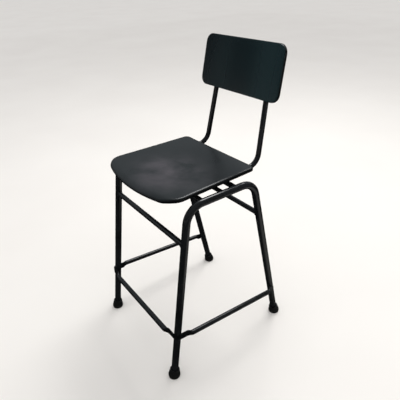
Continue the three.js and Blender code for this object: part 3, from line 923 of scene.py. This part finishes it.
# Painted sheen: the spot is mixed towards a lighter purplish grey, standing for sheen as well as for rubbing.
black_with_rub_and_sheen = add_node(
    tree,
    "ShaderNodeMix",
    {0: wear.outputs["Value"], 6: black.outputs[2], 7: linear("4b464b")},
    data_type="RGBA",
)
gloss = add_node(
    tree,
    "ShaderNodeMapRange",
    {"Value": cloud.outputs["Fac"], "From Min": 0.3, "From Max": 0.7, "To Min": 0.26, "To Max": 0.36},
)
lacquer_on_ply(tree, (1 / GRAIN_WIDTH, 14.0, 1 / GRAIN_WIDTH), black_with_rub_and_sheen.outputs[2], gloss.outputs["Result"])


def rounded_rim(mesh, corners, roundings):
    """One flat face through the corners, each corner rounded by its own distance, with short rim edges."""
    verts = [mesh.verts.new((x, y, 0)) for x, y in corners]
    mesh.faces.new(verts)
    for vert, rounding in zip(verts, roundings):
        # The arc is about 1.4 times as long as its rounding.
        bmesh.ops.bevel(
            mesh,
            geom=[vert],
            offset=rounding,
            offset_type="OFFSET",
            affect="VERTICES",
            segments=max(6, int(rounding * 1.4 / RIM_STEP)),
            profile=0.5,
            material=-1,
        )
    for edge in [e for e in mesh.edges if e.calc_length() > 1.6 * RIM_STEP]:
        bmesh.ops.subdivide_edges(mesh, edges=[edge], cuts=round(edge.calc_length() / RIM_STEP) - 1)
    return mesh.faces[:][0]


def panel_profile(edge):
    """Rings of a panel's section, middle to edge to middle underneath: share out, inset and depth."""
    edge_in, edge_down = edge
    upper, lower = [], []
    for k in range(EDGE_STEPS + 1):
        q = math.pi / 2 * k / EDGE_STEPS
        upper.append((1.0, edge_in * (1 - math.sin(q)), edge_down * (1 - math.cos(q))))
        lower.append((1.0, EDGE_UNDER_R * (1 - math.cos(q)), PLY - EDGE_UNDER_R * (1 - math.sin(q))))
    face = [(k / FACE_RINGS, edge_in, 0.0) for k in range(1, FACE_RINGS)]
    under = [(1 - k / UNDER_RINGS, EDGE_UNDER_R, PLY) for k in range(1, UNDER_RINGS)]
    upright = PLY - edge_down - EDGE_UNDER_R
    sides = [(1.0, 0.0, edge_down + upright * k / SIDE_RINGS) for k in range(1, SIDE_RINGS)]
    return face + upper + sides + lower + under


def press_panel(mesh, rim_face, edge, centre, height_at, place):
    """Grows a rim face into a pressed ply panel: rings from its middle, over its edge and back underneath."""
    flat = mesh.verts.layers.float_vector.new("rim_point")
    depth_of = mesh.verts.layers.float.new("ply_depth")
    for vert in rim_face.verts:
        vert[flat] = vert.co.copy()
    ring = list(rim_face.edges)
    mesh.faces.remove(rim_face)
    poles = []
    profile = panel_profile(edge)
    for index, (share, inset, depth) in enumerate(profile):
        if index:
            ring = run_ring(mesh, ring, (0, 0, 0))
        for vert in verts_of(ring):
            rim = Vector(vert[flat])
            arm = rim - centre
            reach = share * (1 - inset / arm.length)
            x, y = centre.x + arm.x * reach, centre.y + arm.y * reach
            normal = Vector(
                (
                    height_at(x - SLOPE_STEP, y) - height_at(x + SLOPE_STEP, y),
                    height_at(x, y - SLOPE_STEP) - height_at(x, y + SLOPE_STEP),
                    2 * SLOPE_STEP,
                )
            ).normalized()
            vert.co = place @ (Vector((x, y, height_at(x, y))) - normal * depth)
            vert[depth_of] = depth / PLY
        if index in (0, len(profile) - 1):
            poles.append(ring)
    for ring in poles:
        cap = bmesh.ops.contextual_create(mesh, geom=ring)["faces"]
        bmesh.ops.poke(mesh, faces=cap)


def seat_front_at(x):
    """The bowed front edge."""
    return SEAT_FRONT_Y + SEAT_FRONT_BOW * (x / SEAT_BOW_AT) ** 2


def seat_height(x, y):
    """The seat's upper face: a slight rise to the rear, a shallow dish and a rolled front lip."""
    across = max(0.0, 1 - (x / SEAT_FRONT_HALF) ** 2)
    along = max(0.0, 1 - ((y - SEAT_DISH_Y) / SEAT_DISH_HALF) ** 2)
    lip = SEAT_LIP_RUN * (1 - SEAT_LIP_FADE * (x / SEAT_BOW_AT) ** 2) - (y - seat_front_at(x))
    lip = min(max(0.0, lip), SEAT_LIP_RUN + SEAT_LIP_OVERRUN)
    drop = SEAT_LIP_R - math.sqrt(SEAT_LIP_R**2 - lip**2)
    return SEAT_Z + SEAT_RISE * y - SEAT_DISH * (across * along) ** 2 - drop


seat = bmesh.new()
seat_corners = [
    (-SEAT_FRONT_HALF, SEAT_FRONT_Y),
    (SEAT_FRONT_HALF, SEAT_FRONT_Y),
    (SEAT_REAR_HALF, SEAT_REAR_Y),
    (-SEAT_REAR_HALF, SEAT_REAR_Y),
]
seat_roundings = [SEAT_CORNER_FRONT, SEAT_CORNER_FRONT, SEAT_CORNER_REAR, SEAT_CORNER_REAR]
rim_face = rounded_rim(seat, seat_corners, seat_roundings)
# The rim is drawn back towards the sides: fully at the front, not at all at the rear.
for vert in rim_face.verts:
    share = (SEAT_REAR_Y - vert.co.y) / (SEAT_REAR_Y - SEAT_FRONT_Y)
    vert.co.y += (seat_front_at(vert.co.x) - SEAT_FRONT_Y) * share
press_panel(seat, rim_face, SEAT_EDGE, SEAT_CENTRE, seat_height, Matrix.Identity(4))
make_piece(seat, "seat_panel", seat_lacquer, "seat_ply", "seat")

# ---- backrest ----
# A small ply panel pressed to a slight hollow, a little wider at its foot than at its top. It stands against
# the front of the leaning uprights and is held by four screws from behind.
BACK_WIDTH = 340.8 * MM
BACK_TAPER = 0.0125
BACK_HEIGHT = 158.5 * MM
BACK_CORNER = 26 * MM
BACK_HOLLOW = 2.8 * MM
BACK_EDGE = (2.8 * MM, 2.8 * MM)
BACK_CENTRE_Z = 858.6 * MM
BACK_SCREW_SPOTS = (("lower", -48 * MM), ("upper", 48 * MM))  # how far up the back from its middle
BACK_NORMAL = Vector((0, -math.cos(LEAN), math.sin(LEAN)))
BACK_UP = Vector((0, math.sin(LEAN), math.cos(LEAN)))

# The same lacquer, less worn, deeper and without the seat's painted sheen: almost black with a cold green cast,
# bleached in faint upright streaks, and painted lighter towards the sitter's left as painted shading.
back_lacquer, tree, place = new_finish("satin_black_lacquer_back")
streak_way = add_node(tree, "ShaderNodeMapping", {"Vector": place, "Scale": (7.0, 2.5, 2.5)})
cloud = add_node(
    tree,
    "ShaderNodeTexNoise",
    {"Vector": streak_way.outputs["Vector"], "Scale": 1.0, "Detail": 0.0},
)
# Painted shading: the colour grows lighter from the sitter's right towards the sitter's left.
sideways = add_node(tree, "ShaderNodeSeparateXYZ", {"Vector": place})
side_shading = add_node(
    tree,
    "ShaderNodeMapRange",
    {"Value": sideways.outputs["X"], "From Min": -0.17, "From Max": 0.12, "To Min": -0.35, "To Max": 0.3},
)
streaks_and_side_shading = add_node(
    tree,
    "ShaderNodeMath",
    {0: cloud.outputs["Fac"], 1: side_shading.outputs["Result"]},
    operation="ADD",
    use_clamp=True,
)
green_black = add_node(
    tree,
    "ShaderNodeMix",
    {0: streaks_and_side_shading.outputs["Value"], 6: linear("050e12"), 7: linear("0f292d")},
    data_type="RGBA",
)
gloss = add_node(
    tree,
    "ShaderNodeMapRange",
    {"Value": cloud.outputs["Fac"], "From Min": 0.3, "From Max": 0.7, "To Min": 0.22, "To Max": 0.32},
)
lacquer_on_ply(tree, (14.0, 1 / GRAIN_WIDTH, 1 / GRAIN_WIDTH), green_black.outputs[2], gloss.outputs["Result"])


def upright_at(side, up_the_back):
    """The point of an upright's centreline that far up the back from the backrest's middle."""
    corner, top = upright_way[side]
    z = BACK_CENTRE_Z + up_the_back * math.cos(LEAN)
    return corner.lerp(top, (z - RUN_Z) / (UPRIGHT_TOP_Z - RUN_Z))


def back_height(x, y):
    """The backrest's front face above the plane of the uprights' centrelines."""
    return TUBE_R + GAP + PLY + BACK_HOLLOW * (x * x - UPRIGHT_TOP_X**2) / (BACK_WIDTH / 2) ** 2


back = bmesh.new()
half_w, half_h = BACK_WIDTH / 2, BACK_HEIGHT / 2
back_corners = [
    (-half_w * (1 + BACK_TAPER), -half_h),
    (half_w * (1 + BACK_TAPER), -half_h),
    (half_w * (1 - BACK_TAPER), half_h),
    (-half_w * (1 - BACK_TAPER), half_h),
]
rim_face = rounded_rim(back, back_corners, [BACK_CORNER] * 4)
middle = upright_at("left", 0.0)
middle.x = 0
back_turn = Matrix((Vector((1, 0, 0)), BACK_UP, BACK_NORMAL)).transposed().to_4x4()
back_place = Matrix.Translation(middle) @ back_turn
press_panel(back, rim_face, BACK_EDGE, Vector((0, 0, 0)), back_height, back_place)
make_piece(back, "backrest_panel", back_lacquer, "back_ply", "backrest")

# ---- screws ----
# Pan-head screws with a hexagon socket: bright zinc plate under the seat, black zinc behind the backrest.
# The heads sit on the tube and are driven from below and from behind.
SCREW_FACETS = 48
HEAD_H = 3.0  # these three in millimetres, as the profile is
SOCKET_R = 1.75
SOCKET_DEPTH = 2.0
SCREW_PROFILE = [
    (2.35, -HEAD_H), (3.2, -2.93), (4.0, -2.6), (4.5, -2.0), (4.72, -1.2), (4.75, -0.3),
    (4.6, 0), (2.4, 0), (2.4, 23.6), (1.6, 25.0), (0, 25.6),
]


def zinc_plate(name, cloud_scale, dull, clear, smoothest, roughest):
    """A plated metal with a faint cloudiness from the passivation bath."""
    finish, tree, place = new_finish(name)
    cloud = add_node(tree, "ShaderNodeTexNoise", {"Vector": place, "Scale": cloud_scale, "Detail": 4.0})
    shade = add_node(
        tree,
        "ShaderNodeMix",
        {0: cloud.outputs["Fac"], 6: linear(dull), 7: linear(clear)},
        data_type="RGBA",
    )
    gloss = add_node(
        tree,
        "ShaderNodeMapRange",
        {
            "Value": cloud.outputs["Fac"],
            "From Min": 0.3,
            "From Max": 0.7,
            "To Min": smoothest,
            "To Max": roughest,
        },
    )
    relief = add_node(
        tree,
        "ShaderNodeBump",
        {"Height": cloud.outputs["Fac"], "Strength": 0.15, "Distance": 0.1 * MM},
    )
    plate = add_node(
        tree,
        "ShaderNodeBsdfPrincipled",
        {
            "Base Color": shade.outputs[2],
            "Metallic": 1.0,
            "Roughness": gloss.outputs["Result"],
            "Normal": relief.outputs["Normal"],
        },
    )
    add_node(tree, "ShaderNodeOutputMaterial", {"Surface": plate.outputs["BSDF"]})
    return finish


# Bright zinc plate is a cool silver, and black zinc plate a dark, slightly duller grey.
zinc = zinc_plate("bright_zinc_plate", 260.0, "a9adb3", "c9c8c2", 0.28, 0.46)
black_zinc = zinc_plate("black_zinc_plate", 300.0, "202224", "3a3b3c", 0.34, 0.5)


def socket_screw(mesh, at, axis):
    """A screw standing on `at` under its head, its shank along axis, with a hexagon socket in the head."""
    turned(mesh, SCREW_PROFILE, at, axis, SCREW_FACETS)
    rim = [e for e in mesh.edges if e.is_boundary]
    stand = Matrix.Translation(at - axis * HEAD_H * MM) @ axis.to_track_quat("Z", "Y").to_matrix().to_4x4()
    hexagon = bmesh.ops.create_circle(mesh, segments=6, radius=SOCKET_R * MM, matrix=stand)["verts"]
    bmesh.ops.subdivide_edges(mesh, edges=edges_of(hexagon), cuts=SCREW_FACETS // 6 - 1)
    loop = [e for e in mesh.edges if not e.link_faces]
    bmesh.ops.bridge_loops(mesh, edges=rim + loop)
    inner = [e for e in mesh.edges if e.is_boundary]
    floor_ring = run_ring(mesh, inner, axis * SOCKET_DEPTH * MM)
    bmesh.ops.contextual_create(mesh, geom=floor_ring)


for side, _ in SIDES:
    for spot in ("front", "rear"):
        node = f"seat_screw_{spot}_{side}"
        low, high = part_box(node)
        at = Vector(((low.x + high.x) / 2, (low.y + high.y) / 2, RUN_Z - TUBE_R - GAP))
        screw = bmesh.new()
        socket_screw(screw, at, Vector((0, 0, 1)))
        make_piece(screw, f"seat_socket_screw_{spot}_{side}", zinc, "zinc", node)
    for spot, up_the_back in BACK_SCREW_SPOTS:
        node = f"back_screw_{spot}_{side}"
        at = upright_at(side, up_the_back) - BACK_NORMAL * (TUBE_R + GAP)
        screw = bmesh.new()
        socket_screw(screw, at, BACK_NORMAL)
        make_piece(screw, f"back_socket_screw_{spot}_{side}", black_zinc, "black_screw", node)

# ---- feet ----
# Moulded rubber ferrules pushed over the leg ends: thick tapered cups with a rounded lip, each with a steel
# washer inside that the tube stands on. They stand level on the floor.
FERRULE_PROFILE = [
    (0, -6), (16.6, -6), (17.0, -1), (17.5, 0.6), (18.1, 1.8), (18.6, 3.4), (18.85, 5), (18.9, 6.6),
    (18.7, 8.6), (18.3, 10.8), (17.7, 13.8), (17.1, 16.8), (16.5, 19.6), (16.05, 22), (15.75, 24),
    (15.6, 25.6), (15.6, 27.2), (15.45, 27.9), (15.1, 28.5), (14.6, 28.85), (14.0, 29), (12.6, 28.9),
    (11.9, 28.4), (11.5, 27.4), (11.3, 26), (11.3, 6.8), (0, 6.8),
]
FERRULE_FACETS = 72
SOLE_Z = 0.01 * MM
SOLE_RINGS = ((3.0, 0.0), (0.4, 0.9), (2.4, 0.0), (0.4, -0.9), (2.4, 0.0), (0.4, 0.9))  # inset and lift, mm

# Black moulded rubber: matt, slightly grainy, and greyed by floor dust round its foot.
# The mould's grain is finer than 0.5 mm and is drawn at 1.5 mm so that it shows.
rubber, tree, place = new_finish("black_moulded_rubber")
grain = add_node(tree, "ShaderNodeTexNoise", {"Vector": place, "Scale": 650.0, "Detail": 3.0})
smear = add_node(tree, "ShaderNodeTexNoise", {"Vector": place, "Scale": 70.0, "Detail": 4.0})
height = add_node(tree, "ShaderNodeSeparateXYZ", {"Vector": place})
low_down = add_node(
    tree,
    "ShaderNodeMapRange",
    {"Value": height.outputs["Z"], "From Min": 0.0, "From Max": 0.014, "To Min": 0.9, "To Max": 0.1},
)
dusty = add_node(
    tree,
    "ShaderNodeMath",
    {0: low_down.outputs["Result"], 1: smear.outputs["Fac"]},
    operation="MULTIPLY",
)
shade = add_node(
    tree,
    "ShaderNodeMix",
    {0: dusty.outputs["Value"], 6: linear("0b0b0b"), 7: linear("2c2a26")},
    data_type="RGBA",
)
gloss = add_node(
    tree,
    "ShaderNodeMapRange",
    {"Value": smear.outputs["Fac"], "From Min": 0.3, "From Max": 0.7, "To Min": 0.5, "To Max": 0.75},
)
relief = add_node(
    tree,
    "ShaderNodeBump",
    {"Height": grain.outputs["Fac"], "Strength": 0.25, "Distance": 0.15 * MM},
)
moulded = add_node(
    tree,
    "ShaderNodeBsdfPrincipled",
    {
        "Base Color": shade.outputs[2],
        "Roughness": gloss.outputs["Result"],
        "IOR": 1.52,
        "Normal": relief.outputs["Normal"],
    },
)
add_node(tree, "ShaderNodeOutputMaterial", {"Surface": moulded.outputs["BSDF"]})

for side, sign in SIDES:
    for end, corner_y in ENDS:
        foot, corner = leg_ends(side, sign, end, corner_y)
        ferrule = bmesh.new()
        turned(ferrule, FERRULE_PROFILE, foot, (corner - foot).normalized(), FERRULE_FACETS)
        bmesh.ops.bisect_plane(
            ferrule,
            geom=ferrule.verts[:] + ferrule.edges[:] + ferrule.faces[:],
            plane_co=(0, 0, SOLE_Z),
            plane_no=(0, 0, 1),
            clear_inner=True,
        )
        cut_edges = [e for e in ferrule.edges if e.is_boundary]
        sole = bmesh.ops.contextual_create(ferrule, geom=cut_edges)["faces"]
        for inset, lift in SOLE_RINGS:
            bmesh.ops.inset_region(ferrule, faces=sole, thickness=inset * MM)
            bmesh.ops.translate(ferrule, verts=verts_of(sole), vec=(0, 0, lift * MM))
        make_piece(ferrule, f"rubber_foot_{end}_{side}", rubber, "rubber", f"ferrule_{end}_{side}")
        washer = frame["nodes"][f"washer_{end}_{side}"]
        washer.data.materials.clear()
        washer.data.materials.append(zinc)
